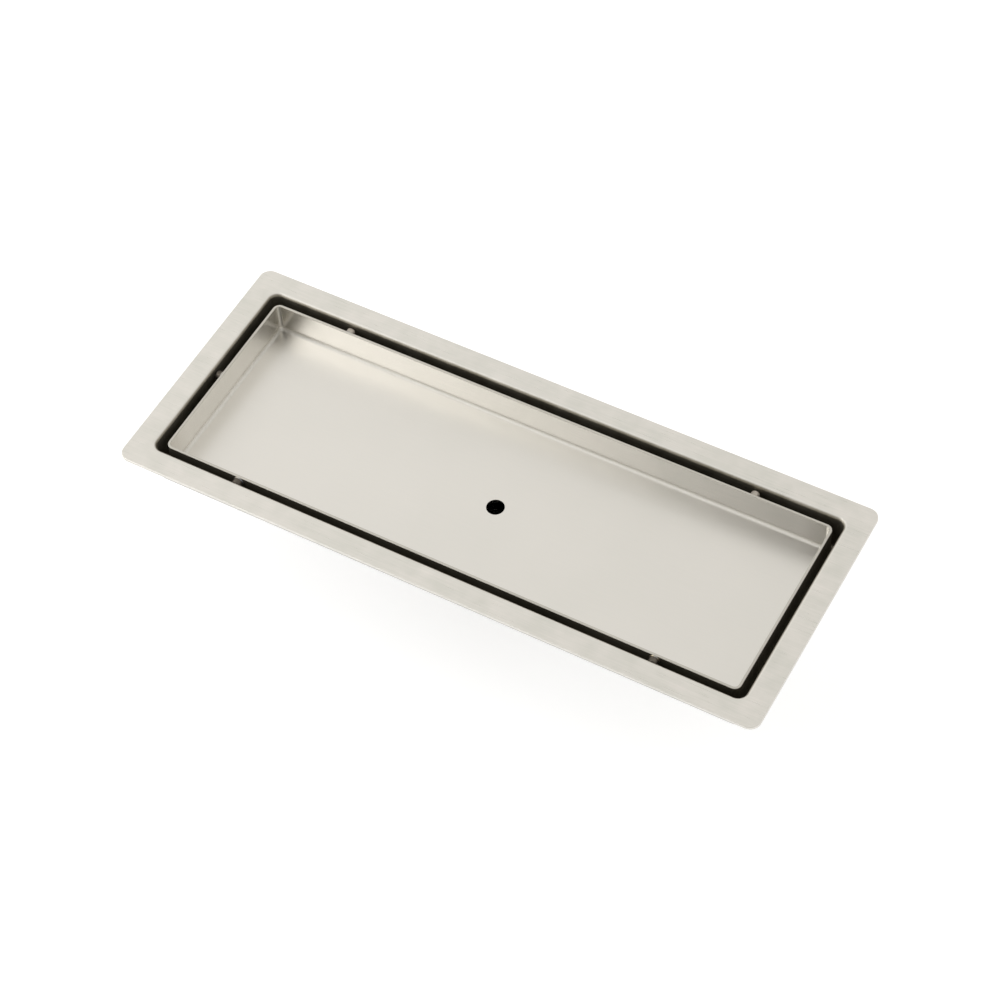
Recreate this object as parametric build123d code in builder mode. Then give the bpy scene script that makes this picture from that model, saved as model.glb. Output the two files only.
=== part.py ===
from build123d import *
import os

os.makedirs("parts", exist_ok=True)

# Tile-insert floor drain. A pressed stainless body with a flat flange holds a lift-out tray for a cut tile.
# Water runs down the slot around the tray, under it, along the channel and out through a bell trap.
# The origin is the middle of the outlet spigot's lower end, +X runs along the drain and +Z up to the floor.

# Driving dimensions in millimetres: flange and pressed body
sheet = 1.2
flange_length = 300.0
flange_width = 120.0
flange_land = 9.4
flange_corner_radius = 5.0
roll_bend = 0.4
opening_corner_radius = 4.0
channel_width = 64.0
channel_depth = 8.0
channel_fall = 5.0
channel_corner_radius = 8.0
press_bend = 1.6
edge_break = 0.3

# Driving dimensions: tile tray and its pads
tray_slot = 3.6
tray_depth = 15.0
tray_rim_drop = 1.4
tray_corner_bend = 2.0
tray_bend = 1.6
lifting_hole_diameter = 8.0
spacer_radius = 2.0
spacer_reach = 3.0
spacer_round = 1.0
spacer_drop = 2.5
spacer_inset = 37.0
pad_length = 16.0
pad_width = 5.0
pad_height = 1.6
pad_inset = 30.0

# Driving dimensions: outlet and bell trap
spigot_diameter = 40.0
spigot_wall = 1.2
spigot_length = 30.0
spigot_lead = 0.5
seat_width = 4.0
recess_bend = 0.8
landing_margin = 3.0
spun = 0.8
spun_bend = 1.6
gasket_height = 1.5
gasket_set_back = 0.3
seat_clearance = 0.2
flush_margin = 0.4
cup_clearance = 0.8
cup_end_clearance = 0.8
outer_passage = 4.2
inner_passage = 4.2
weir_drop = 4.0
bell_headroom = 5.0
arch_width = 11.0
arch_height = 4.5
arch_corner_radius = 2.0
knob_radius = 4.0
knob_height = 3.6
knob_round = 1.2
knob_stem_radius = 1.5
knob_tail_radius = 2.6
knob_tail_height = 0.7
knob_clearance = 0.1
strainer_rim = 4.0
dome_height = 8.0
strainer_hole_diameter = 3.0
strainer_ring_pitch = 4.6
strainer_holes_per_ring = 6

# Plan sizes that follow
opening_length = flange_length - 2 * (flange_land + roll_bend + sheet)
opening_width = flange_width - 2 * (flange_land + roll_bend + sheet)
ledge_width = (opening_width - channel_width) / 2
channel_length = opening_length - 2 * ledge_width
tray_length = opening_length - 2 * tray_slot
tray_width = opening_width - 2 * tray_slot
spigot_radius = spigot_diameter / 2
spigot_bore_radius = spigot_radius - spigot_wall
recess_radius = spigot_radius + seat_width
landing_half_length = recess_radius + landing_margin
trap_flange_radius = recess_radius - recess_bend - seat_clearance
cup_radius = spigot_bore_radius - cup_clearance
bell_radius = cup_radius - spun - outer_passage
standpipe_radius = bell_radius - spun - inner_passage

# Heights that follow, from the spigot's lower end up
recess_depth = gasket_height + 2 * spun + flush_margin
recess_z = spigot_length + sheet
outlet_z = recess_z + recess_depth
channel_end_z = outlet_z + channel_fall
ledge_z = channel_end_z + channel_depth
tray_base_z = ledge_z + pad_height
tray_rim_z = tray_base_z + sheet + tray_depth
flange_top_z = tray_rim_z + tray_rim_drop
trap_flange_z = recess_z + gasket_height
strainer_z = trap_flange_z + spun
cup_floor_z = cup_end_clearance + spun
weir_z = strainer_z - weir_drop
bell_roof_z = weir_z + bell_headroom
tolerance = 0.01


def level_faces(part, height):
    """The flat, level faces of a part at one height."""
    return part.faces().filter_by(Axis.Z).filter_by_position(Axis.Z, height - tolerance, height + tolerance)


def level_edges(part, height):
    """The edges of a part whose middles lie at one height."""
    return part.edges().filter_by_position(Axis.Z, height - tolerance, height + tolerance)


def pan_form(growth):
    """The body's hollow, from tray pocket to outlet recess, grown outwards. Growth is 0 or the sheet."""
    wide = 2 * growth
    inside_bend = press_bend + growth
    outside_bend = press_bend + sheet - growth
    floor_z = outlet_z - growth
    with BuildPart() as form:
        # Tray pocket, down to the ledge
        with BuildSketch(Plane.XY.offset(flange_top_z)):
            RectangleRounded(opening_length + wide, opening_width + wide, opening_corner_radius + growth)
        extrude(amount=ledge_z - growth - flange_top_z)
        fillet(form.edges().group_by(Axis.Z)[0], radius=inside_bend)

        # Channel below the ledge, its floor falling from both ends to a level landing in the middle
        with BuildSketch(Plane.XY.offset(ledge_z - growth)):
            RectangleRounded(channel_length + wide, channel_width + wide, channel_corner_radius + growth)
        extrude(amount=outlet_z - ledge_z)
        half = channel_length / 2 + growth
        with BuildSketch(Plane.XZ):
            with BuildLine():
                Polyline(
                    (-half, floor_z),
                    (-half, floor_z + channel_fall),
                    (-landing_half_length, floor_z),
                    close=True,
                )
            make_face()
            mirror(about=Plane.YZ)
        extrude(amount=channel_width, both=True, mode=Mode.SUBTRACT)
        fillet(level_faces(form, ledge_z - growth)[0].inner_wires()[0].edges(), radius=outside_bend)
        floors = form.faces().filter_by(GeomType.PLANE).sort_by(Axis.Z)[:3]
        crease = landing_half_length
        rims = floors.edges().filter_by(lambda edge: abs(abs(edge.center().X) - crease) > tolerance)
        fillet(rims, radius=inside_bend)

        # Round recess that seats the trap
        with BuildSketch(Plane.XY.offset(floor_z)):
            Circle(recess_radius + growth)
        extrude(amount=-recess_depth)
        fillet(form.edges().group_by(Axis.Z)[0], radius=recess_bend + growth)
        fillet(level_faces(form, floor_z)[0].inner_wires()[0].edges(), radius=recess_bend + sheet - growth)
    return form.part


# Drain body: one pressed sheet, flange, upright wall, ledge, channel and outlet recess
with BuildPart() as drain_body:
    with BuildSketch(Plane.XY.offset(flange_top_z)):
        RectangleRounded(flange_length, flange_width, flange_corner_radius)
    extrude(amount=-sheet)
    add(pan_form(sheet))
    fillet(level_faces(drain_body, flange_top_z - sheet)[0].inner_wires()[0].edges(), radius=roll_bend)
    add(pan_form(0), mode=Mode.SUBTRACT)
    fillet(level_faces(drain_body, flange_top_z)[0].inner_wires()[0].edges(), radius=roll_bend + sheet)
    fillet(level_faces(drain_body, flange_top_z)[0].outer_wire().edges(), radius=edge_break)
    with BuildSketch(Plane.XY.offset(recess_z)):
        Circle(spigot_bore_radius)
    extrude(amount=-sheet, mode=Mode.SUBTRACT)
drain_body.part.label = "drain_body"
export_step(drain_body.part, "parts/drain_body.step")

# Outlet spigot: a length of tube butt-welded under the recess
with BuildPart() as outlet_spigot:
    with BuildSketch():
        Circle(spigot_radius)
        Circle(spigot_bore_radius, mode=Mode.SUBTRACT)
    extrude(amount=spigot_length)
    chamfer(level_edges(outlet_spigot, 0).sort_by(SortBy.LENGTH)[-1], length=spigot_lead)
outlet_spigot.part.label = "outlet_spigot"
export_step(outlet_spigot.part, "parts/outlet_spigot.step")


def tray_form(growth):
    """The tray's hollow, grown outwards. Growth is 0 or the sheet."""
    length = tray_length - 2 * sheet
    width = tray_width - 2 * sheet
    with BuildPart() as form:
        with BuildSketch(Plane.XY.offset(tray_rim_z)):
            RectangleRounded(length + 2 * growth, width + 2 * growth, tray_corner_bend + growth)
        extrude(amount=-(tray_depth + growth))
        fillet(form.edges().group_by(Axis.Z)[0], radius=tray_bend + growth)
    return form.part


# Tile tray: one folded sheet with a lifting hole
with BuildPart() as tile_tray:
    add(tray_form(sheet))
    add(tray_form(0), mode=Mode.SUBTRACT)
    fillet(level_faces(tile_tray, tray_rim_z)[0].edges(), radius=edge_break)
    with Locations((0, 0, tray_base_z + sheet)):
        Hole(lifting_hole_diameter / 2)
tile_tray.part.label = "tile_tray"
export_step(tile_tray.part, "parts/tile_tray.step")

# Tray spacers: pins stud-welded to the tray's walls just under its rim, which centre it in the opening
spacer_station = tray_length / 2 - spacer_inset
spacer_seats = {
    "front_left": (-spacer_station, -tray_width / 2, Axis.Y),
    "front_right": (spacer_station, -tray_width / 2, Axis.Y),
    "back_left": (-spacer_station, tray_width / 2, Axis.Y),
    "back_right": (spacer_station, tray_width / 2, Axis.Y),
    "left": (-tray_length / 2, 0, Axis.X),
}
for place, (x, y, axis) in spacer_seats.items():
    seat = Vector(x, y, tray_rim_z - spacer_drop)
    outwards = axis.direction if seat.dot(axis.direction) > 0 else -axis.direction
    with BuildPart() as tray_spacer:
        with BuildSketch(Plane(origin=seat, z_dir=outwards)):
            Circle(spacer_radius)
        extrude(amount=spacer_reach)
        fillet(tray_spacer.edges().sort_by_distance(seat)[-1], radius=spacer_round)
    tray_spacer.part.label = f"tray_spacer_{place}"
    export_step(tray_spacer.part, f"parts/{tray_spacer.part.label}.step")

# Tray pads: rubber, bonded under the tray's floor and standing on the ledge
pad_line = (channel_width / 2 + press_bend + tray_width / 2 - tray_bend) / 2
pad_station = tray_length / 2 - pad_inset
for side, y in {"front": -pad_line, "back": pad_line}.items():
    for place, x in {"left": -pad_station, "middle": 0, "right": pad_station}.items():
        with BuildPart() as tray_pad:
            with BuildSketch(Plane.XY.offset(ledge_z)):
                with Locations((x, y)):
                    SlotOverall(pad_length, pad_width)
            extrude(amount=pad_height)
        tray_pad.part.label = f"tray_pad_{side}_{place}"
        export_step(tray_pad.part, f"parts/{tray_pad.part.label}.step")

# Trap gasket: a flat rubber ring on the recess floor
with BuildPart() as trap_gasket:
    with BuildSketch(Plane.XY.offset(recess_z)):
        Circle(trap_flange_radius)
        Circle(spigot_bore_radius + gasket_set_back, mode=Mode.SUBTRACT)
    extrude(amount=gasket_height)
trap_gasket.part.label = "trap_gasket"
export_step(trap_gasket.part, "parts/trap_gasket.step")

# Trap cup: spun from thin sheet, hung by its flange, with a hole for the standpipe in its floor
with BuildPart() as trap_cup:
    with BuildSketch(Plane.XY.offset(trap_flange_z)):
        Circle(trap_flange_radius)
    extrude(amount=spun)
    with BuildSketch(Plane.XY.offset(trap_flange_z)):
        Circle(cup_radius)
    extrude(amount=cup_end_clearance - trap_flange_z)
    fillet(trap_cup.edges().group_by(Axis.Z)[0], radius=spun_bend + spun)
    with BuildSketch(Plane.XY.offset(strainer_z)):
        Circle(cup_radius - spun)
    extrude(amount=cup_floor_z - strainer_z, mode=Mode.SUBTRACT)
    fillet(level_edges(trap_cup, cup_floor_z), radius=spun_bend)
    fillet(level_faces(trap_cup, strainer_z)[0].inner_wires()[0].edges(), radius=spun)
    with BuildSketch(Plane.XY.offset(cup_floor_z)):
        Circle(standpipe_radius - spun)
    extrude(amount=-spun, mode=Mode.SUBTRACT)
trap_cup.part.label = "trap_cup"
export_step(trap_cup.part, "parts/trap_cup.step")

# Trap standpipe: a tube welded over the cup's hole, its top edge the weir that sets the water level
with BuildPart() as trap_standpipe:
    with BuildSketch(Plane.XY.offset(cup_floor_z)):
        Circle(standpipe_radius)
        Circle(standpipe_radius - spun, mode=Mode.SUBTRACT)
    extrude(amount=weir_z - cup_floor_z)
trap_standpipe.part.label = "trap_standpipe"
export_step(trap_standpipe.part, "parts/trap_standpipe.step")

# Trap bell: spun cup turned over the standpipe, standing on the feet left between four arches
with BuildPart() as trap_bell:
    with BuildSketch(Plane.XY.offset(cup_floor_z)):
        Circle(bell_radius)
    extrude(amount=bell_roof_z + spun - cup_floor_z)
    fillet(trap_bell.edges().group_by(Axis.Z)[-1], radius=spun_bend + spun)
    with BuildSketch(Plane.XY.offset(cup_floor_z)):
        Circle(bell_radius - spun)
    extrude(amount=bell_roof_z - cup_floor_z, mode=Mode.SUBTRACT)
    fillet(level_edges(trap_bell, bell_roof_z), radius=spun_bend)
    for across in (Plane.XZ, Plane.YZ):
        with BuildSketch(across):
            with Locations((0, cup_floor_z)):
                RectangleRounded(arch_width, 2 * arch_height, arch_corner_radius)
        extrude(amount=bell_radius, both=True, mode=Mode.SUBTRACT)
    with Locations((0, 0, bell_roof_z + spun)):
        Hole(knob_stem_radius + knob_clearance, depth=2 * spun)
trap_bell.part.label = "trap_bell"
export_step(trap_bell.part, "parts/trap_bell.step")

# Bell knob: turned, its stem riveted over inside the bell's roof
with BuildPart() as bell_knob:
    with BuildSketch(Plane.XY.offset(bell_roof_z - knob_tail_height)):
        Circle(knob_tail_radius)
    extrude(amount=knob_tail_height)
    with BuildSketch(Plane.XY.offset(bell_roof_z)):
        Circle(knob_stem_radius)
    extrude(amount=spun)
    with BuildSketch(Plane.XY.offset(bell_roof_z + spun)):
        Circle(knob_radius)
    extrude(amount=knob_height)
    fillet(bell_knob.edges().group_by(Axis.Z)[-1], radius=knob_round)
bell_knob.part.label = "bell_knob"
export_step(bell_knob.part, "parts/bell_knob.step")

# Hair strainer: a dished disc with rings of punched holes, its rim on the cup's flange
dome_radius = trap_flange_radius - strainer_rim
dome_sphere_radius = (dome_radius**2 + dome_height**2) / (2 * dome_height)
strainer_rings = int((dome_radius - strainer_hole_diameter) / strainer_ring_pitch)
with BuildPart() as hair_strainer:
    with BuildSketch(Plane.XZ):
        with Locations((0, strainer_z + dome_height - dome_sphere_radius)):
            Circle(dome_sphere_radius + spun)
            Circle(dome_sphere_radius, mode=Mode.SUBTRACT)
        with Locations((0, strainer_z)):
            Rectangle(
                trap_flange_radius, dome_height + spun, align=(Align.MIN, Align.MIN), mode=Mode.INTERSECT
            )
        with Locations((dome_radius, strainer_z)):
            Rectangle(strainer_rim, spun, align=(Align.MIN, Align.MIN))
    revolve(axis=Axis.Z)
    with BuildSketch(Plane.XY.offset(strainer_z)):
        Circle(strainer_hole_diameter / 2)
        for ring in range(1, strainer_rings + 1):
            with PolarLocations(ring * strainer_ring_pitch, ring * strainer_holes_per_ring):
                Circle(strainer_hole_diameter / 2)
    extrude(amount=dome_height + spun, mode=Mode.SUBTRACT)
hair_strainer.part.label = "hair_strainer"
export_step(hair_strainer.part, "parts/hair_strainer.step")
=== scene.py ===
import math

import bpy
from mathutils import Matrix, Quaternion, Vector


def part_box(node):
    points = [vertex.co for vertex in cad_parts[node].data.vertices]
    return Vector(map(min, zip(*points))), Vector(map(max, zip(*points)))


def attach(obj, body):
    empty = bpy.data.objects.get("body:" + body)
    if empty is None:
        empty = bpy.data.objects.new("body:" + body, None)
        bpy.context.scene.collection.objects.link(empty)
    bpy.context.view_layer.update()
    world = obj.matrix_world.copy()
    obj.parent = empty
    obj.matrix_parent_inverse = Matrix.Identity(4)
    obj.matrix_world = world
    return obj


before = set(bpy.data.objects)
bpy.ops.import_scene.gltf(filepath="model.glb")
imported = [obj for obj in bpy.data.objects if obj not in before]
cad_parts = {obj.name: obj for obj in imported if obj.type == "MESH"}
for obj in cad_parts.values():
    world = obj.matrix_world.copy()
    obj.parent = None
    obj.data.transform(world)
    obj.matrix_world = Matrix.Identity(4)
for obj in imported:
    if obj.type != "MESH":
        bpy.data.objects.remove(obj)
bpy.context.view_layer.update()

# Drain body. One stainless sheet, brushed along its length on the face that shows, and pressed into flange,
# upright wall, ledge, channel and outlet recess. Below the flange's roll its inner faces are painted dark as
# shade.
mm = 0.001
satin_cool = (0.630, 0.626, 0.575, 1)
satin_grey = (0.702, 0.684, 0.638, 1)
satin_warm = (0.772, 0.740, 0.698, 1)
# Dark mill colours, painted shade for the faces inside the slot
mill_shade_dark = (0.26, 0.24, 0.19, 1)
mill_shade_grey = (0.36, 0.335, 0.28, 1)
mill_roughness = 0.5
# A lighter colour that the bends take: painted highlight
painted_bend_highlight = (0.755, 0.735, 0.69, 1)
plate_dark = (0.50, 0.495, 0.475, 1)
plate_grey = (0.58, 0.575, 0.555, 1)
tint_straw = (0.58, 0.47, 0.27, 1)
tint_brown = (0.34, 0.22, 0.16, 1)
tint_blue = (0.24, 0.28, 0.38, 1)
weld_grey = (0.46, 0.45, 0.43, 1)
flange_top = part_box("drain_body")[1].z
spigot_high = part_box("outlet_spigot")[1]

# A Mix node has sockets for each kind of value, and these are the places of its vectors and of its colours
vector_a, vector_b, vector_mixed = 4, 5, 1
colour_a, colour_b, colour_mixed = 6, 7, 2
in_plan = (1, 1, 0)


def add_node(tree, kind, settings=None, **sockets):
    """A node with its settings and the values of its named input sockets."""
    node = tree.nodes.new(kind)
    for name, value in (settings or {}).items():
        setattr(node, name, value)
    for name, value in sockets.items():
        node.inputs[name.replace("_", " ")].default_value = value
    return node


def add_sum(tree, operation, first=None, second=None):
    """A node that reckons with numbers, of which the first or the second may be fixed."""
    node = add_node(tree, "ShaderNodeMath", {"operation": operation})
    for socket, value in zip(node.inputs, (first, second)):
        if value is not None:
            socket.default_value = value
    return node


def add_vector_sum(tree, operation, second=None):
    """A node that reckons with points or directions, of which the second may be fixed."""
    node = add_node(tree, "ShaderNodeVectorMath", {"operation": operation})
    if second is not None:
        node.inputs[1].default_value = second
    return node


def join(tree, *rows):
    """Links nodes, each row an output's node and name, then an input's node and name."""
    for source, output, target, socket in rows:
        tree.links.new(source.outputs[output], target.inputs[socket])


def new_group(name, inputs, outputs):
    """A shader node group with number sockets, and its two end nodes."""
    group = bpy.data.node_groups.new(name, "ShaderNodeTree")
    for socket, value in inputs.items():
        made = group.interface.new_socket(socket, in_out="INPUT", socket_type="NodeSocketFloat")
        made.default_value = value
    for socket in outputs:
        group.interface.new_socket(socket, in_out="OUTPUT", socket_type="NodeSocketFloat")
    return group, group.nodes.new("NodeGroupInput"), group.nodes.new("NodeGroupOutput")


def new_material(name, **sockets):
    """A material, its node tree and its Principled shader with the values that hold all over it."""
    material = bpy.data.materials.new(name)
    material.use_nodes = True
    shader = material.node_tree.nodes["Principled BSDF"]
    for socket, value in sockets.items():
        shader.inputs[socket.replace("_", " ")].default_value = value
    return material, material.node_tree, shader


def colour_ramp(tree, *stops):
    """A colour ramp node with stops of place and colour."""
    ramp = tree.nodes.new("ShaderNodeValToRGB")
    elements = ramp.color_ramp.elements
    while len(elements) < len(stops):
        elements.new(0.5)
    for element, (place, colour) in zip(elements, stops):
        element.position = place
        element.color = colour
    return ramp


def dress(node, material):
    """Gives a CAD node its material."""
    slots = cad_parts[node].data.materials
    slots.clear()
    slots.append(material)


# Brush lines run along the sheet, so they climb the walls at its two ends. Tone drifts slowly over the sheet.
end_wall_tilt = 0.75
brush_lines, given, wanted = new_group(
    "brush_lines", {"Pitch": 0.5 * mm, "Length": 16 * mm, "Patch": 45 * mm}, ("Lines", "Drift")
)
where = add_node(brush_lines, "ShaderNodeTexCoord")
facing = add_node(brush_lines, "ShaderNodeNewGeometry")
facing_parts = add_node(brush_lines, "ShaderNodeSeparateXYZ")
facing_end = add_sum(brush_lines, "ABSOLUTE")
is_end = add_sum(brush_lines, "GREATER_THAN", second=end_wall_tilt)
turned = add_node(brush_lines, "ShaderNodeVectorRotate", {"rotation_type": "Y_AXIS"}, Angle=math.pi / 2)
chosen = add_node(brush_lines, "ShaderNodeMix", {"data_type": "VECTOR"})
stretch = add_node(brush_lines, "ShaderNodeCombineXYZ")
along = add_vector_sum(brush_lines, "DIVIDE")
fine = add_node(brush_lines, "ShaderNodeTexNoise", Scale=1, Detail=3, Roughness=0.5)
spread = add_vector_sum(brush_lines, "DIVIDE")
slow = add_node(brush_lines, "ShaderNodeTexNoise", Scale=1, Detail=2, Roughness=0.5)
join(
    brush_lines,
    (facing, "Normal", facing_parts, "Vector"),
    (facing_parts, "X", facing_end, 0),
    (facing_end, "Value", is_end, 0),
    (where, "Object", turned, "Vector"),
    (is_end, "Value", chosen, "Factor"),
    (where, "Object", chosen, vector_a),
    (turned, "Vector", chosen, vector_b),
    (given, "Length", stretch, "X"),
    (given, "Pitch", stretch, "Y"),
    (given, "Pitch", stretch, "Z"),
    (chosen, vector_mixed, along, 0),
    (stretch, "Vector", along, 1),
    (along, "Vector", fine, "Vector"),
    (fine, "Fac", wanted, "Lines"),
    (where, "Object", spread, 0),
    (given, "Patch", spread, 1),
    (spread, "Vector", slow, "Vector"),
    (slow, "Fac", wanted, "Drift"),
)

# Faces that look outwards or down, which are the sheet's other side
under_tilt = -0.5
outer_side, given, wanted = new_group("outer_side", {"Least": 1 * mm}, ("Outside",))
where = add_node(outer_side, "ShaderNodeTexCoord")
facing = add_node(outer_side, "ShaderNodeNewGeometry")
plan = add_vector_sum(outer_side, "MULTIPLY", in_plan)
outward = add_vector_sum(outer_side, "DOT_PRODUCT")
is_outer = add_sum(outer_side, "GREATER_THAN")
facing_parts = add_node(outer_side, "ShaderNodeSeparateXYZ")
is_under = add_sum(outer_side, "LESS_THAN", second=under_tilt)
either = add_sum(outer_side, "MAXIMUM")
join(
    outer_side,
    (where, "Object", plan, 0),
    (facing, "Normal", outward, 0),
    (plan, "Vector", outward, 1),
    (outward, "Value", is_outer, 0),
    (given, "Least", is_outer, 1),
    (facing, "Normal", facing_parts, "Vector"),
    (facing_parts, "Z", is_under, 0),
    (is_outer, "Value", either, 0),
    (is_under, "Value", either, 1),
    (either, "Value", wanted, "Outside"),
)

# How near the metal is to a ring weld, from 0 at its reach to 1 at the bead
heat_unevenness = 0.3
weld_heat, given, wanted = new_group(
    "weld_heat", {"Ring Radius": 20 * mm, "Height": 30 * mm, "Reach": 9 * mm}, ("Heat",)
)
where = add_node(weld_heat, "ShaderNodeTexCoord")
plan = add_vector_sum(weld_heat, "MULTIPLY", in_plan)
radius = add_vector_sum(weld_heat, "LENGTH")
parts = add_node(weld_heat, "ShaderNodeSeparateXYZ")
aside = add_sum(weld_heat, "SUBTRACT")
above = add_sum(weld_heat, "SUBTRACT")
section = add_node(weld_heat, "ShaderNodeCombineXYZ")
away = add_vector_sum(weld_heat, "LENGTH")
uneven = add_node(weld_heat, "ShaderNodeTexNoise", Scale=90, Detail=2, Roughness=0.5)
share = add_sum(weld_heat, "DIVIDE")
cooled = add_sum(weld_heat, "MULTIPLY_ADD", second=heat_unevenness)
heat = add_node(weld_heat, "ShaderNodeMapRange", From_Min=1.15, From_Max=0.15, To_Min=0, To_Max=1)
join(
    weld_heat,
    (where, "Object", plan, 0),
    (plan, "Vector", radius, 0),
    (where, "Object", parts, "Vector"),
    (radius, "Value", aside, 0),
    (given, "Ring Radius", aside, 1),
    (parts, "Z", above, 0),
    (given, "Height", above, 1),
    (aside, "Value", section, "X"),
    (above, "Value", section, "Y"),
    (section, "Vector", away, 0),
    (away, "Value", share, 0),
    (given, "Reach", share, 1),
    (where, "Object", uneven, "Vector"),
    (uneven, "Fac", cooled, 0),
    (share, "Value", cooled, 2),
    (cooled, "Value", heat, "Value"),
    (heat, "Result", wanted, "Heat"),
)

# Bends, from 0 on flat faces to 1 halfway round, and how level a face is. The bend share makes bends rougher
# and gives them a painted highlight.
sheet_bends, given, wanted = new_group("sheet_bends", {"Strength": 2.0}, ("Bend", "Level"))
facing = add_node(sheet_bends, "ShaderNodeNewGeometry")
parts = add_node(sheet_bends, "ShaderNodeSeparateXYZ")
level = add_sum(sheet_bends, "MULTIPLY")
upright = add_sum(sheet_bends, "SUBTRACT", first=1)
both = add_sum(sheet_bends, "MULTIPLY")
root = add_sum(sheet_bends, "SQRT")
scaled = add_sum(sheet_bends, "MULTIPLY")
join(
    sheet_bends,
    (facing, "Normal", parts, "Vector"),
    (parts, "Z", level, 0),
    (parts, "Z", level, 1),
    (level, "Value", upright, 1),
    (level, "Value", both, 0),
    (upright, "Value", both, 1),
    (both, "Value", root, 0),
    (root, "Value", scaled, 0),
    (given, "Strength", scaled, 1),
    (scaled, "Value", wanted, "Bend"),
    (level, "Value", wanted, "Level"),
)


def brushed_steel(
    name, tones, pitch, length, patch, contrast, gloss_range, depth, bend_dulling, level_dulling=0, level_calm=0
):
    """Brushed sheet with a painted highlight on its bends. Returns the material, its tree, the mix of its two
    faces and the mill face's share, whose colour is painted dark as shade.
    """
    material, tree, shader = new_material(name, Metallic=1)
    grain = add_node(
        tree, "ShaderNodeGroup", {"node_tree": brush_lines}, Pitch=pitch, Length=length, Patch=patch
    )
    bends = add_node(tree, "ShaderNodeGroup", {"node_tree": sheet_bends})
    calm = add_node(tree, "ShaderNodeMapRange", To_Min=1, To_Max=1 - level_calm)
    strength = add_sum(tree, "MULTIPLY", second=contrast)
    drift = add_node(tree, "ShaderNodeMix", {"data_type": "FLOAT"}, A=0.5)
    streaks = add_node(tree, "ShaderNodeMix", {"data_type": "FLOAT"})
    satin = colour_ramp(tree, *zip((0.25, 0.5, 0.75), tones))
    # Bends turn towards a lighter colour, a painted highlight
    painted_light_tone = add_node(tree, "ShaderNodeMix", {"data_type": "RGBA"})
    painted_light_tone.inputs[colour_b].default_value = painted_bend_highlight
    # The mill face's colour, painted dark as shade
    mill_shade_ramp = colour_ramp(tree, (0.35, mill_shade_dark), (0.65, mill_shade_grey))
    mill_and_shade_share = add_node(tree, "ShaderNodeClamp")
    face = add_node(tree, "ShaderNodeMix", {"data_type": "RGBA"})
    smooth, rough = gloss_range
    gloss = add_node(tree, "ShaderNodeMapRange", From_Min=0.25, From_Max=0.75, To_Min=smooth, To_Max=rough)
    flat = add_sum(tree, "MULTIPLY_ADD", second=level_dulling)
    matt = add_sum(tree, "MULTIPLY_ADD", second=bend_dulling)
    dull = add_node(tree, "ShaderNodeMix", {"data_type": "FLOAT"}, B=mill_roughness)
    ridges = add_sum(tree, "MULTIPLY")
    relief = add_node(tree, "ShaderNodeBump", Strength=0.4, Distance=depth)
    join(
        tree,
        (bends, "Level", calm, "Value"),
        (calm, "Result", strength, 0),
        (calm, "Result", drift, "Factor"),
        (grain, "Drift", drift, "B"),
        (strength, "Value", streaks, "Factor"),
        (drift, "Result", streaks, "A"),
        (grain, "Lines", streaks, "B"),
        (streaks, "Result", satin, "Fac"),
        (bends, "Bend", painted_light_tone, "Factor"),
        (satin, "Color", painted_light_tone, colour_a),
        (grain, "Drift", mill_shade_ramp, "Fac"),
        (mill_and_shade_share, "Result", face, "Factor"),
        (painted_light_tone, colour_mixed, face, colour_a),
        (mill_shade_ramp, "Color", face, colour_b),
        (face, colour_mixed, shader, "Base Color"),
        (grain, "Lines", gloss, "Value"),
        (bends, "Level", flat, 0),
        (gloss, "Result", flat, 2),
        (bends, "Bend", matt, 0),
        (flat, "Value", matt, 2),
        (mill_and_shade_share, "Result", dull, "Factor"),
        (matt, "Value", dull, "A"),
        (dull, "Result", shader, "Roughness"),
        (calm, "Result", ridges, 0),
        (grain, "Lines", ridges, 1),
        (ridges, "Value", relief, "Height"),
        (relief, "Normal", shader, "Normal"),
    )
    return material, tree, face, mill_and_shade_share


tint_start = 0.3


def heat_bands(tree, bare):
    """The colours that heat leaves on bare metal, from its first tint to the bead."""
    return colour_ramp(
        tree, (tint_start, bare), (0.55, tint_straw), (0.75, tint_brown), (0.88, tint_blue), (1.0, weld_grey)
    )


# The brushed face ends where the flange rolls over into the slot, below which the inner faces are painted dark
# as shade. Its sheared rim is bright. The outside is plain plate, tinted by heat round the outlet's weld.
satin_end = flange_top - 0.06 * mm
slot_shade_start = flange_top - 0.5 * mm
rim_foot = flange_top - 1.1 * mm
satin_body, tree, face, mill_and_shade_share = brushed_steel(
    "satin_body",
    tones=(satin_cool, satin_grey, satin_warm),
    pitch=0.6 * mm,
    length=14 * mm,
    patch=9 * mm,
    contrast=0.45,
    gloss_range=(0.26, 0.38),
    depth=0.03 * mm,
    bend_dulling=0.22,
)
place = add_node(tree, "ShaderNodeTexCoord")
height = add_node(tree, "ShaderNodeSeparateXYZ")
# Inner faces below the roll turn to the dark mill colour: painted shade in the slot
into_slot_shade = add_node(tree, "ShaderNodeMapRange", From_Min=satin_end, From_Max=slot_shade_start, To_Min=0, To_Max=1)
side = add_node(tree, "ShaderNodeGroup", {"node_tree": outer_side})
past_rim = add_sum(tree, "LESS_THAN", second=rim_foot)
share = add_node(tree, "ShaderNodeMix", {"data_type": "FLOAT"})
blotches = add_node(tree, "ShaderNodeTexNoise", Scale=24, Detail=4, Roughness=0.6)
plate = colour_ramp(tree, (0.35, plate_dark), (0.65, plate_grey))
near_weld = add_node(
    tree,
    "ShaderNodeGroup",
    {"node_tree": weld_heat},
    Ring_Radius=spigot_high.x,
    Height=spigot_high.z,
    Reach=9 * mm,
)
bands = heat_bands(tree, plate_grey)
burnt = add_sum(tree, "GREATER_THAN", second=tint_start)
heated = add_node(tree, "ShaderNodeMix", {"data_type": "RGBA"})
bare = add_node(tree, "ShaderNodeMix", {"data_type": "RGBA"})
mill_shade_ramp = face.inputs[colour_b].links[0].from_node
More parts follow.
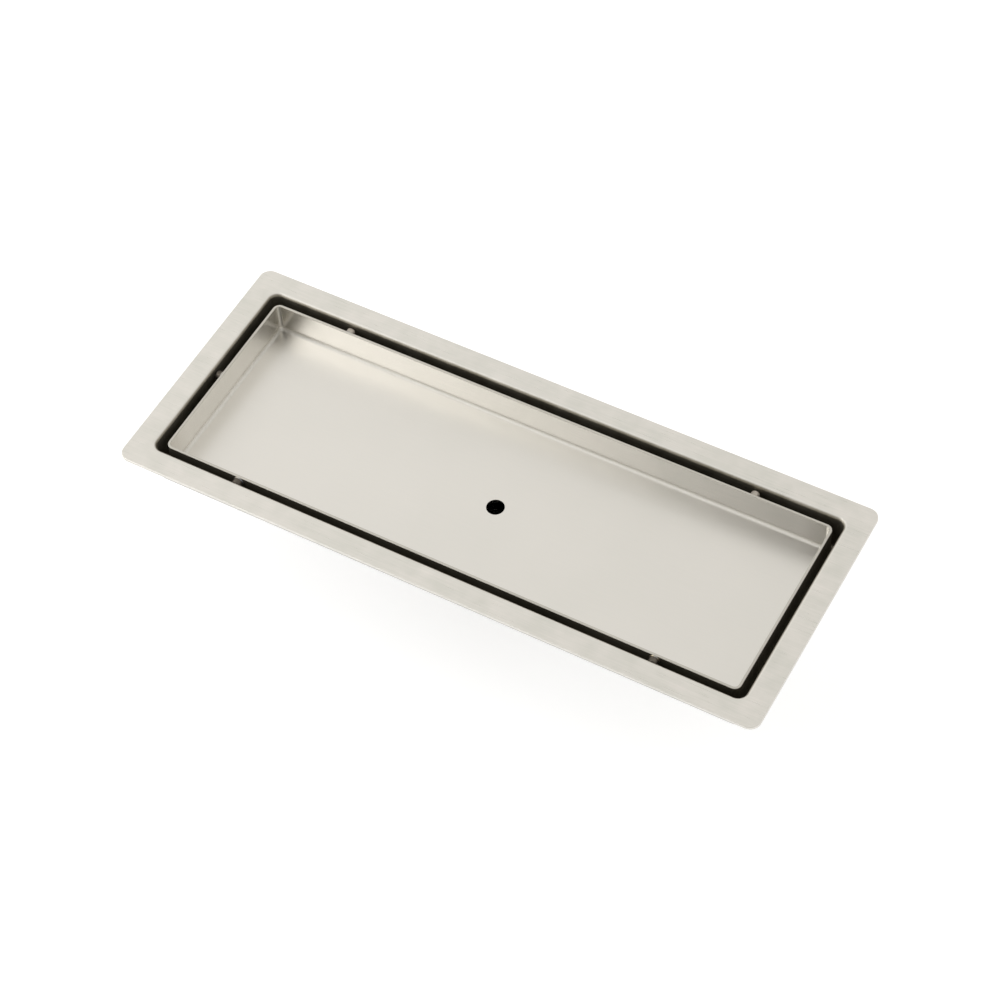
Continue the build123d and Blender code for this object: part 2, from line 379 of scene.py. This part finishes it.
join(
    tree,
    (place, "Object", height, "Vector"),
    (height, "Z", into_slot_shade, "Value"),
    (height, "Z", past_rim, 0),
    (side, "Outside", share, "Factor"),
    (into_slot_shade, "Result", share, "A"),
    (past_rim, "Value", share, "B"),
    (share, "Result", mill_and_shade_share, "Value"),
    (place, "Object", blotches, "Vector"),
    (blotches, "Fac", plate, "Fac"),
    (near_weld, "Heat", bands, "Fac"),
    (near_weld, "Heat", burnt, 0),
    (burnt, "Value", heated, "Factor"),
    (plate, "Color", heated, colour_a),
    (bands, "Color", heated, colour_b),
    (side, "Outside", bare, "Factor"),
    (mill_shade_ramp, "Color", bare, colour_a),
    (heated, colour_mixed, bare, colour_b),
    (bare, colour_mixed, face, colour_b),
)
dress("drain_body", satin_body)

# Outlet spigot. A short length of stainless tube, cut square and chamfered, butted under the outlet recess
# and welded round. The weld is a rippled bead, and its heat leaves straw and blue bands on the metal beside it.
tube_grey = (0.60, 0.59, 0.56, 1)
weld_straw = (0.50, 0.42, 0.28, 1)
tube_radius = spigot_high.x
tube_steel, tree, shader = new_material("tube_steel", Metallic=1)
grain = add_node(tree, "ShaderNodeGroup", {"node_tree": brush_lines}, Pitch=2 * mm, Length=0.35 * mm)
near_weld = add_node(
    tree,
    "ShaderNodeGroup",
    {"node_tree": weld_heat},
    Ring_Radius=tube_radius,
    Height=spigot_high.z,
    Reach=11 * mm,
)
bands = heat_bands(tree, tube_grey)
gloss = add_node(tree, "ShaderNodeMapRange", From_Min=0.25, From_Max=0.75, To_Min=0.30, To_Max=0.44)
relief = add_node(tree, "ShaderNodeBump", Strength=0.1, Distance=0.02 * mm)
join(
    tree,
    (near_weld, "Heat", bands, "Fac"),
    (bands, "Color", shader, "Base Color"),
    (grain, "Lines", gloss, "Value"),
    (gloss, "Result", shader, "Roughness"),
    (grain, "Lines", relief, "Height"),
    (relief, "Normal", shader, "Normal"),
)
dress("outlet_spigot", tube_steel)

points_per_ripple = 6
bead_profile_points = 14
ripple_bow = 2.0


def weld_tree():
    """Geometry nodes for a ring weld: a tube round a circle, with crescent ripples across it."""
    tree = bpy.data.node_groups.new("ring_weld", "GeometryNodeTree")
    sockets = {}
    for name, kind, value in (
        ("Ring Radius", "NodeSocketFloat", 20 * mm),
        ("Bead Radius", "NodeSocketFloat", 1 * mm),
        ("Ripple Depth", "NodeSocketFloat", 0.1 * mm),
        ("Ripples", "NodeSocketInt", 100),
        ("Finish", "NodeSocketMaterial", None),
    ):
        socket = tree.interface.new_socket(name, in_out="INPUT", socket_type=kind)
        if value is not None:
            socket.default_value = value
        sockets[name] = socket.identifier
    tree.interface.new_socket("Weld", in_out="OUTPUT", socket_type="NodeSocketGeometry")
    given = tree.nodes.new("NodeGroupInput")
    wanted = tree.nodes.new("NodeGroupOutput")
    steps = add_sum(tree, "MULTIPLY", second=points_per_ripple)
    ring = tree.nodes.new("GeometryNodeCurvePrimitiveCircle")
    profile = add_node(tree, "GeometryNodeCurvePrimitiveCircle", Resolution=bead_profile_points)
    tube = tree.nodes.new("GeometryNodeCurveToMesh")
    spot = tree.nodes.new("GeometryNodeInputPosition")
    spot_parts = tree.nodes.new("ShaderNodeSeparateXYZ")
    angle = add_sum(tree, "ARCTAN2")
    plan = add_vector_sum(tree, "MULTIPLY", in_plan)
    reach = add_vector_sum(tree, "LENGTH")
    offset = add_sum(tree, "SUBTRACT")
    bow = add_sum(tree, "DIVIDE")
    turns = add_sum(tree, "MULTIPLY")
    bowed = add_sum(tree, "MULTIPLY_ADD", second=ripple_bow)
    wave = add_sum(tree, "SINE")
    depth = add_sum(tree, "MULTIPLY")
    outwards = tree.nodes.new("GeometryNodeInputNormal")
    shift = add_vector_sum(tree, "SCALE")
    rippled = tree.nodes.new("GeometryNodeSetPosition")
    smooth = tree.nodes.new("GeometryNodeSetShadeSmooth")
    real = tree.nodes.new("GeometryNodeRealizeInstances")
    finish = tree.nodes.new("GeometryNodeSetMaterial")
    join(
        tree,
        (given, "Ripples", steps, 0),
        (steps, "Value", ring, "Resolution"),
        (given, "Ring Radius", ring, "Radius"),
        (given, "Bead Radius", profile, "Radius"),
        (ring, "Curve", tube, "Curve"),
        (profile, "Curve", tube, "Profile Curve"),
        (spot, "Position", spot_parts, "Vector"),
        (spot_parts, "Y", angle, 0),
        (spot_parts, "X", angle, 1),
        (spot, "Position", plan, 0),
        (plan, "Vector", reach, 0),
        (reach, "Value", offset, 0),
        (given, "Ring Radius", offset, 1),
        (offset, "Value", bow, 0),
        (given, "Bead Radius", bow, 1),
        (angle, "Value", turns, 0),
        (given, "Ripples", turns, 1),
        (bow, "Value", bowed, 0),
        (turns, "Value", bowed, 2),
        (bowed, "Value", wave, 0),
        (wave, "Value", depth, 0),
        (given, "Ripple Depth", depth, 1),
        (outwards, "Normal", shift, 0),
        (depth, "Value", shift, "Scale"),
        (tube, "Mesh", rippled, "Geometry"),
        (shift, "Vector", rippled, "Offset"),
        (rippled, "Geometry", smooth, "Geometry"),
        (smooth, "Geometry", real, "Geometry"),
        (real, "Geometry", finish, "Geometry"),
        (given, "Finish", finish, "Material"),
        (finish, "Geometry", wanted, "Weld"),
    )
    return tree, sockets


ring_weld, weld_sockets = weld_tree()


def weld_mesh(name, places, **sizes):
    """The plain mesh of one ring weld, repeated at each place."""
    maker = bpy.data.objects.new(name + "_maker", bpy.data.meshes.new(name + "_maker"))
    bpy.context.scene.collection.objects.link(maker)
    modifier = maker.modifiers.new("weld", "NODES")
    modifier.node_group = ring_weld
    for size, value in sizes.items():
        modifier[weld_sockets[size.replace("_", " ")]] = value
    modifier[weld_sockets["Finish"]] = weld_bead
    bpy.context.view_layer.update()
    ring = bpy.data.meshes.new_from_object(maker.evaluated_get(bpy.context.evaluated_depsgraph_get()))
    bpy.data.objects.remove(maker)
    corners, faces = [], []
    for place in places:
        first = len(corners)
        corners += [place @ vertex.co for vertex in ring.vertices]
        faces += [[first + index for index in polygon.vertices] for polygon in ring.polygons]
    mesh = bpy.data.meshes.new(name)
    mesh.from_pydata(corners, [], faces)
    mesh.shade_smooth()
    mesh.materials.append(weld_bead)
    return mesh


def weld_on(name, places, slot, **sizes):
    """Puts a weld on the drain, in the weld bead's finish. The slot argument is not used."""
    weld = bpy.data.objects.new(name, weld_mesh(name, places, **sizes))
    bpy.context.scene.collection.objects.link(weld)
    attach(weld, "root")


weld_bead, tree, shader = new_material("weld_bead", Metallic=1)
place = add_node(tree, "ShaderNodeTexCoord")
patch = add_node(tree, "ShaderNodeTexNoise", Scale=260, Detail=3, Roughness=0.6)
tone = colour_ramp(tree, (0.35, weld_straw), (0.55, weld_grey), (0.7, tint_blue))
gloss = add_node(tree, "ShaderNodeMapRange", From_Min=0.3, From_Max=0.7, To_Min=0.28, To_Max=0.5)
join(
    tree,
    (place, "Object", patch, "Vector"),
    (patch, "Fac", tone, "Fac"),
    (tone, "Color", shader, "Base Color"),
    (patch, "Fac", gloss, "Value"),
    (gloss, "Result", shader, "Roughness"),
)
bead = 0.9 * mm
bead_stand = 0.35 * bead
weld_on(
    "spigot_weld",
    [Matrix.Translation((0, 0, spigot_high.z - bead_stand))],
    "satin_stainless",
    Ring_Radius=tube_radius + bead_stand,
    Bead_Radius=bead,
    Ripple_Depth=0.08 * mm,
    Ripples=120,
)

# Trap gasket. A flat ring die-cut from black rubber sheet, laid in the outlet recess, that seals the trap
# cup's flange. The sheet is moulded with a fine matt skin and picks up a little grey dust.
rubber_black = (0.018, 0.018, 0.019, 1)
rubber_worn = (0.045, 0.045, 0.046, 1)
black_rubber, tree, shader = new_material("black_rubber", Specular_IOR_Level=0.35)
place = add_node(tree, "ShaderNodeTexCoord")
skin = add_node(tree, "ShaderNodeTexNoise", Scale=2200, Detail=2, Roughness=0.55)
dust = add_node(tree, "ShaderNodeTexNoise", Scale=160, Detail=4, Roughness=0.6)
tone = colour_ramp(tree, (0.4, rubber_black), (0.72, rubber_worn))
gloss = add_node(tree, "ShaderNodeMapRange", From_Min=0.3, From_Max=0.7, To_Min=0.58, To_Max=0.78)
relief = add_node(tree, "ShaderNodeBump", Strength=0.3, Distance=0.03 * mm)
join(
    tree,
    (place, "Object", skin, "Vector"),
    (place, "Object", dust, "Vector"),
    (dust, "Fac", tone, "Fac"),
    (tone, "Color", shader, "Base Color"),
    (dust, "Fac", gloss, "Value"),
    (gloss, "Result", shader, "Roughness"),
    (skin, "Fac", relief, "Height"),
    (relief, "Normal", shader, "Normal"),
)
dress("trap_gasket", black_rubber)

# Trap cup and standpipe. The cup is spun from thin stainless sheet and hangs by its flange on the gasket. The
# standpipe is a tube welded over the hole in the cup's floor. Spinning leaves fine rings round the axis.
spun_dark = (0.585, 0.580, 0.560, 1)
spun_grey = (0.660, 0.655, 0.635, 1)
spun_lines, given, wanted = new_group(
    "spun_lines", {"Pitch": 0.3 * mm, "Patch": 18 * mm}, ("Rings", "Drift")
)
where = add_node(spun_lines, "ShaderNodeTexCoord")
plan = add_vector_sum(spun_lines, "MULTIPLY", in_plan)
radius = add_vector_sum(spun_lines, "LENGTH")
parts = add_node(spun_lines, "ShaderNodeSeparateXYZ")
section = add_node(spun_lines, "ShaderNodeCombineXYZ")
pitched = add_vector_sum(spun_lines, "DIVIDE")
rings = add_node(spun_lines, "ShaderNodeTexNoise", Scale=1, Detail=3, Roughness=0.6)
spread = add_vector_sum(spun_lines, "DIVIDE")
slow = add_node(spun_lines, "ShaderNodeTexNoise", Scale=1, Detail=2, Roughness=0.5)
join(
    spun_lines,
    (where, "Object", plan, 0),
    (plan, "Vector", radius, 0),
    (where, "Object", parts, "Vector"),
    (radius, "Value", section, "X"),
    (parts, "Z", section, "Y"),
    (section, "Vector", pitched, 0),
    (given, "Pitch", pitched, 1),
    (pitched, "Vector", rings, "Vector"),
    (rings, "Fac", wanted, "Rings"),
    (where, "Object", spread, 0),
    (given, "Patch", spread, 1),
    (spread, "Vector", slow, "Vector"),
    (slow, "Fac", wanted, "Drift"),
)


def ringed_steel(name, tones, gloss_range, strength, **sizes):
    """Steel with fine rings round the drain's axis, from spinning or turning."""
    material, tree, shader = new_material(name, Metallic=1)
    grain = add_node(tree, "ShaderNodeGroup", {"node_tree": spun_lines}, **sizes)
    tone = colour_ramp(tree, *zip((0.35, 0.65), tones))
    smooth, rough = gloss_range
    gloss = add_node(tree, "ShaderNodeMapRange", From_Min=0.25, From_Max=0.75, To_Min=smooth, To_Max=rough)
    relief = add_node(tree, "ShaderNodeBump", Strength=strength, Distance=0.02 * mm)
    join(
        tree,
        (grain, "Drift", tone, "Fac"),
        (tone, "Color", shader, "Base Color"),
        (grain, "Rings", gloss, "Value"),
        (gloss, "Result", shader, "Roughness"),
        (grain, "Rings", relief, "Height"),
        (relief, "Normal", shader, "Normal"),
    )
    return material


spun_steel = ringed_steel("spun_steel", (spun_dark, spun_grey), (0.24, 0.38), 0.15)
standpipe_low, standpipe_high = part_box("trap_standpipe")
dress("trap_cup", spun_steel)
dress("trap_standpipe", spun_steel)
foot_bead = 0.6 * mm
foot_stand = 0.3 * foot_bead
weld_on(
    "standpipe_weld",
    [Matrix.Translation((0, 0, standpipe_low.z + foot_stand))],
    "spun_stainless",
    Ring_Radius=standpipe_high.x + foot_stand,
    Bead_Radius=foot_bead,
    Ripple_Depth=0.05 * mm,
    Ripples=70,
)

# Trap bell and knob. The bell is spun in the same sheet and stands over the standpipe, so that the water in
# the cup seals it. The knob is turned from bar and riveted through the bell's roof, to lift it for cleaning.
dress("trap_bell", spun_steel)
turned_steel = ringed_steel(
    "turned_steel", (spun_grey, satin_grey), (0.16, 0.27), 0.2, Pitch=0.16 * mm, Patch=6 * mm
)
dress("bell_knob", turned_steel)

# Hair strainer. A disc of thin stainless sheet, punched with rings of holes and dished, that lies loose on
# the trap cup's flange.
dress("hair_strainer", spun_steel)

# Tile tray. One stainless sheet folded up into an open box for a cut tile, with a hole in its floor for a
# lifting key. Its inside is brushed, its outside is painted dark in the mill colour as the slot's shade, and
# its sheared rim is between. Its walls turn greyer towards the tray's four corners.
tray_low, tray_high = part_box("tile_tray")
tray_cool = (0.670, 0.662, 0.615, 1)
tray_grey = (0.735, 0.716, 0.674, 1)
tray_warm = (0.795, 0.768, 0.727, 1)
outside_top = tray_high.z - 0.5 * mm
rim_start = tray_high.z - 0.2 * mm
rim_greyness = 0.45
# How much greyer the walls turn at the tray's corners
corner_greyness = 0.35
satin_tray, tree, face, mill_and_shade_share = brushed_steel(
    "satin_tray",
    tones=(tray_cool, tray_grey, tray_warm),
    pitch=0.9 * mm,
    length=14 * mm,
    patch=45 * mm,
    contrast=0.6,
    gloss_range=(0.17, 0.26),
    depth=0.07 * mm,
    bend_dulling=0.34,
    level_dulling=0.14,
    level_calm=0.8,
)
place = add_node(tree, "ShaderNodeTexCoord")
height = add_node(tree, "ShaderNodeSeparateXYZ")
side = add_node(tree, "ShaderNodeGroup", {"node_tree": outer_side})
# The outside, facing the slot, takes the dark mill colour as painted shade
is_below = add_sum(tree, "LESS_THAN", second=outside_top)
shaded_outside = add_sum(tree, "MULTIPLY")
is_rim = add_sum(tree, "GREATER_THAN", second=rim_start)
rim_and_shade_share = add_sum(tree, "MULTIPLY_ADD", second=rim_greyness)
# Walls turn greyer towards the tray's four corners
mirrored = add_vector_sum(tree, "ABSOLUTE")
to_corner = add_vector_sum(tree, "SUBTRACT", tray_high)
plan = add_vector_sum(tree, "MULTIPLY", in_plan)
corner_gap = add_vector_sum(tree, "LENGTH")
near_corner = add_node(
    tree,
    "ShaderNodeMapRange",
    {"interpolation_type": "SMOOTHSTEP"},
    From_Min=2 * mm,
    From_Max=16 * mm,
    To_Min=corner_greyness,
    To_Max=0,
)
bends = add_node(tree, "ShaderNodeGroup", {"node_tree": sheet_bends})
on_wall = add_sum(tree, "SUBTRACT", first=1)
corner_greyed = add_sum(tree, "MULTIPLY_ADD")
tinted = add_node(tree, "ShaderNodeClamp")
join(
    tree,
    (place, "Object", height, "Vector"),
    (height, "Z", is_below, 0),
    (side, "Outside", shaded_outside, 0),
    (is_below, "Value", shaded_outside, 1),
    (height, "Z", is_rim, 0),
    (is_rim, "Value", rim_and_shade_share, 0),
    (shaded_outside, "Value", rim_and_shade_share, 2),
    (rim_and_shade_share, "Value", mill_and_shade_share, "Value"),
    (place, "Object", mirrored, 0),
    (mirrored, "Vector", to_corner, 0),
    (to_corner, "Vector", plan, 0),
    (plan, "Vector", corner_gap, 0),
    (corner_gap, "Value", near_corner, "Value"),
    (bends, "Level", on_wall, 1),
    (near_corner, "Result", corner_greyed, 0),
    (on_wall, "Value", corner_greyed, 1),
    (rim_and_shade_share, "Value", corner_greyed, 2),
    (corner_greyed, "Value", tinted, "Value"),
    (tinted, "Result", face, "Factor"),
)
dress("tile_tray", satin_tray)

# Tray pads and spacers. Six rubber pads under the tray's floor stand on the body's ledge and let water pass.
# Steel pins, stud-welded to the tray's walls just under its rim, keep the slot even. They are stained brown,
# painted darker as shade at the front and lighter as painted light at the back.
shaded_stain_dark = (0.10, 0.09, 0.075, 1)
shaded_stain_brown = (0.19, 0.165, 0.14, 1)
pin_lit_grey = (0.44, 0.405, 0.36, 1)
pin_lit_bright = (0.64, 0.59, 0.53, 1)
collar_stand = 0.1 * mm
pads = [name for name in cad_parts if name.startswith("tray_pad")]
spacers = [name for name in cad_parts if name.startswith("tray_spacer")]
pin_steel, tree, shader = new_material("pin_steel", Metallic=1)
place = add_node(tree, "ShaderNodeTexCoord")
patch = add_node(tree, "ShaderNodeTexNoise", Scale=700, Detail=3, Roughness=0.6)
shaded_stain = colour_ramp(tree, (0.35, shaded_stain_dark), (0.65, shaded_stain_brown))
painted_light_tone = colour_ramp(tree, (0.35, pin_lit_grey), (0.65, pin_lit_bright))
parts = add_node(tree, "ShaderNodeSeparateXYZ")
# Pins towards the back are painted lighter as if lit, those at the front darker as painted shade
lit_at_back = add_node(tree, "ShaderNodeMapRange", From_Min=10 * mm, From_Max=40 * mm)
tone = add_node(tree, "ShaderNodeMix", {"data_type": "RGBA"})
gloss = add_node(tree, "ShaderNodeMapRange", From_Min=0.3, From_Max=0.7, To_Min=0.5, To_Max=0.65)
join(
    tree,
    (place, "Object", patch, "Vector"),
    (patch, "Fac", shaded_stain, "Fac"),
    (patch, "Fac", painted_light_tone, "Fac"),
    (place, "Object", parts, "Vector"),
    (parts, "Y", lit_at_back, "Value"),
    (lit_at_back, "Result", tone, "Factor"),
    (shaded_stain, "Color", tone, colour_a),
    (painted_light_tone, "Color", tone, colour_b),
    (tone, colour_mixed, shader, "Base Color"),
    (patch, "Fac", gloss, "Value"),
    (gloss, "Result", shader, "Roughness"),
)
for pad in pads:
    dress(pad, black_rubber)
pin_feet = []
for spacer in spacers:
    dress(spacer, pin_steel)
    low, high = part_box(spacer)
    middle = (low + high) / 2
    foot = Vector(max(least, min(most, value)) for value, least, most in zip(middle, tray_low, tray_high))
    pin_way = (middle - foot).normalized()
    turn = pin_way.to_track_quat("Z", "Y").to_matrix().to_4x4()
    pin_feet.append(Matrix.Translation(foot + collar_stand * pin_way) @ turn)
weld_on(
    "spacer_welds",
    pin_feet,
    "satin_stainless",
    Ring_Radius=2.0 * mm,
    Bead_Radius=0.35 * mm,
    Ripple_Depth=0.03 * mm,
    Ripples=18,
)

# Studio floor. A plain white sheet that the drain stands on by its outlet spigot. It keeps the drain's soft
# shadow and is lifted to white for the camera.
floor_reach = 4.0
floor_corners = [(x * floor_reach, y * floor_reach, 0) for x, y in ((-1, -1), (1, -1), (1, 1), (-1, 1))]
floor_mesh = bpy.data.meshes.new("studio_floor")
floor_mesh.from_pydata(floor_corners, [], [(0, 1, 2, 3)])
floor = bpy.data.objects.new("studio_floor", floor_mesh)
bpy.context.scene.collection.objects.link(floor)
floor_white, tree, shader = new_material(
    "floor_white", Base_Color=(0.6, 0.6, 0.6, 1), Roughness=0.9, Specular_IOR_Level=0
)
path = add_node(tree, "ShaderNodeLightPath")
shown = add_sum(tree, "MAXIMUM")
lift = add_node(tree, "ShaderNodeEmission", Strength=0.6)
dark = add_node(tree, "ShaderNodeEmission", Strength=0)
seen = add_node(tree, "ShaderNodeMixShader")
lit = add_node(tree, "ShaderNodeAddShader")
join(
    tree,
    (path, "Is Camera Ray", shown, 0),
    (path, "Is Glossy Ray", shown, 1),
    (shown, "Value", seen, 0),
    (dark, 0, seen, 1),
    (lift, 0, seen, 2),
    (shader, 0, lit, 0),
    (seen, 0, lit, 1),
    (lit, 0, tree.nodes["Material Output"], "Surface"),
)
floor_mesh.materials.append(floor_white)

# Studio light. A pale room with a darker patch above the front, where the camera stands, a tall soft lamp at
# the front left, and two faint ones at the back. The camera sees the room as plain white.
room_colour = (1, 0.985, 0.955, 1)
room_level = 0.92
patch_level = 0.05
patch_way = (0.0, -0.60, 0.80)
patch_edge = 0.80
patch_core = 0.97
world = bpy.data.worlds.new("studio")
bpy.context.scene.world = world
world.use_nodes = True
tree = world.node_tree
room = tree.nodes["Background"]
room.inputs["Color"].default_value = room_colour
way = add_node(tree, "ShaderNodeTexCoord")
towards_patch = add_vector_sum(tree, "DOT_PRODUCT", patch_way)
dimmed = add_node(
    tree,
    "ShaderNodeMapRange",
    {"interpolation_type": "SMOOTHSTEP"},
    From_Min=patch_edge,
    From_Max=patch_core,
    To_Min=room_level,
    To_Max=patch_level,
)
backdrop = add_node(tree, "ShaderNodeBackground", Color=(1, 1, 1, 1), Strength=1)
path = add_node(tree, "ShaderNodeLightPath")
seen = add_node(tree, "ShaderNodeMixShader")
join(
    tree,
    (way, "Generated", towards_patch, 0),
    (towards_patch, "Value", dimmed, "Value"),
    (dimmed, "Result", room, "Strength"),
    (path, "Is Camera Ray", seen, 0),
    (room, 0, seen, 1),
    (backdrop, 0, seen, 2),
    (seen, 0, tree.nodes["World Output"], "Surface"),
)
lamp_aim = Vector((0, 0, 0.06))


def soft_box(name, at, width, height, brightness):
    """A flat studio lamp of a given brightness, turned to the drain."""
    lamp = bpy.data.lights.new(name, "AREA")
    lamp.shape = "RECTANGLE"
    lamp.size = width
    lamp.size_y = height
    lamp.energy = math.pi * width * height * brightness
    stand = bpy.data.objects.new(name, lamp)
    stand.location = at
    stand.rotation_mode = "QUATERNION"
    stand.rotation_quaternion = (lamp_aim - Vector(at)).to_track_quat("-Z", "Y")
    stand.visible_camera = False
    bpy.context.scene.collection.objects.link(stand)


soft_box("front_lamp", (-0.75, -0.56, 0.75), width=0.8, height=1.4, brightness=1.68)
soft_box("left_lamp", (-0.80, 0.58, 0.84), width=0.9, height=0.9, brightness=0.12)
soft_box("right_lamp", (0.72, 0.66, 0.90), width=1.0, height=1.0, brightness=0.16)

# Camera. It stands above the drain's front right, close to 53 degrees up, with a long lens and a slight roll,
# as the photograph's perspective gives it.
camera_at = Vector((366.8, -585.4, 963.0)) * mm
camera_aim = Vector((6.45, -6.37, 66.9)) * mm
camera_roll = Quaternion((0, 0, 1), math.radians(-3.75))
camera_data = bpy.data.cameras.new("camera")
camera_data.sensor_width = 36
camera_data.lens = 97.31
camera = bpy.data.objects.new("camera", camera_data)
camera.location = camera_at
camera.rotation_mode = "QUATERNION"
camera.rotation_quaternion = (camera_aim - camera_at).to_track_quat("-Z", "Y") @ camera_roll
bpy.context.scene.collection.objects.link(camera)
bpy.context.scene.camera = camera
bpy.context.scene.view_settings.view_transform = "Standard"
